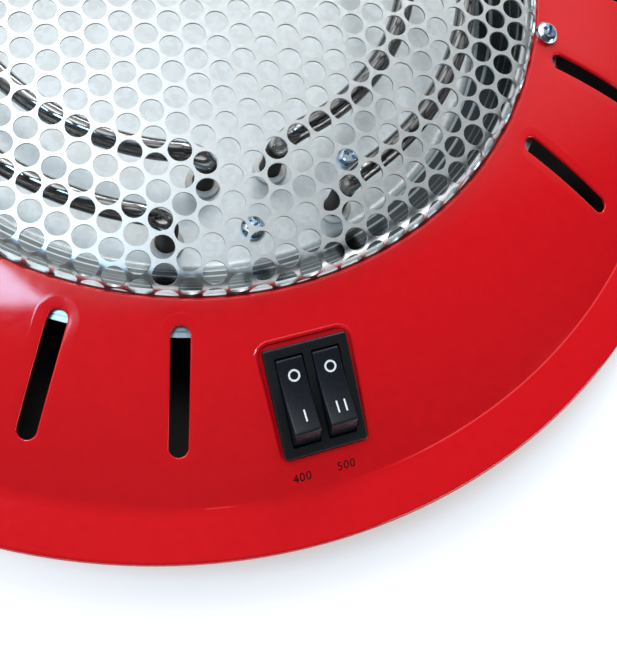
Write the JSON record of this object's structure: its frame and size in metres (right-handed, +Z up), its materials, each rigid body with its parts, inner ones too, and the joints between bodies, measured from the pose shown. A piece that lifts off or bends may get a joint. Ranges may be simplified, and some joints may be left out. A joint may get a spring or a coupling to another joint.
{
  "type": "electric brazier heater",
  "caption": "Round under-table electric heater: red slotted cover ring, crowned perforated grille, two C-shaped tube elements over a reflector and a double rocker switch.",
  "frame": {"origin": "on the floor under the heater's axis", "axes": "+Z up along the heater's axis, -Y towards the switch, +X to the right of the switch seen from the front"},
  "size_m": [0.3799, 0.38, 0.062],
  "materials": {
    "red_enamel": "gloss enamel",
    "grille_steel": "bright perforated sheet",
    "galvanised": "galvanised",
    "element_sheath": "heat-darkened",
    "nickel": "plain",
    "ceramic": "plain",
    "zinc_screw": "zinc plated",
    "brass": "plain",
    "pan_black": "satin",
    "rubber_black": "matt",
    "switch_black": "satin gloss",
    "nylon": "plain",
    "lead_live": "silicone",
    "lead_neutral": "silicone",
    "lead_earth": "silicone"
  },
  "bodies": {
    "heater": {"cover_ring": "red_enamel", "grille": "grille_steel", "reflector": "galvanised", "inner_element": "element_sheath", "outer_element": "element_sheath", "inner_element_pins": "nickel", "outer_element_pins": "nickel", "end_bushes": "ceramic", "tube_supports": "galvanised", "floor_screws": "zinc_screw", "earth_tag": "brass", "thermal_cutout": "zinc_screw", "cover_screws": "zinc_screw", "pan_brackets": "galvanised", "base_pan": "pan_black", "feet": "rubber_black", "cable_grommet": "rubber_black", "switch_housing": "switch_black", "switch_terminals": "brass", "terminal_block": "nylon", "inner_lead": "lead_live", "outer_lead": "lead_live", "live_lead": "lead_live", "cutout_lead": "lead_live", "live_link": "lead_live", "earth_lead": "lead_earth", "neutral_lead_inner": "lead_neutral", "neutral_lead_outer": "lead_neutral"},
    "rocker_left": {"rocker_left": "switch_black", "plunger_left": "nylon"},
    "rocker_right": {"rocker_right": "switch_black", "plunger_right": "nylon"},
    "lever_left": {"contact_lever_left": "brass"},
    "lever_right": {"contact_lever_right": "brass"}
  },
  "joints": [
    {"name": "rocker_left_hinge", "type": "hinge", "parent": "heater", "child": "rocker_left", "pos_m": [-0.0055, -0.14865, 0.04023], "axis": [1, 0, 0], "range_deg": [0, 18]},
    {"name": "lever_left_hinge", "type": "hinge", "parent": "heater", "child": "lever_left", "pos_m": [-0.0055, -0.14519, 0.03064], "axis": [1, 0, 0], "range_deg": [-14, 0]},
    {"name": "rocker_right_hinge", "type": "hinge", "parent": "heater", "child": "rocker_right", "pos_m": [0.0055, -0.14865, 0.04023], "axis": [1, 0, 0], "range_deg": [0, 18]},
    {"name": "lever_right_hinge", "type": "hinge", "parent": "heater", "child": "lever_right", "pos_m": [0.0055, -0.14519, 0.03064], "axis": [1, 0, 0], "range_deg": [-14, 0]}
  ],
  "couplings": [
    {"joint": "lever_left_hinge", "follows": "rocker_left_hinge", "ratio": -0.77778},
    {"joint": "lever_right_hinge", "follows": "rocker_right_hinge", "ratio": -0.77778}
  ]
}
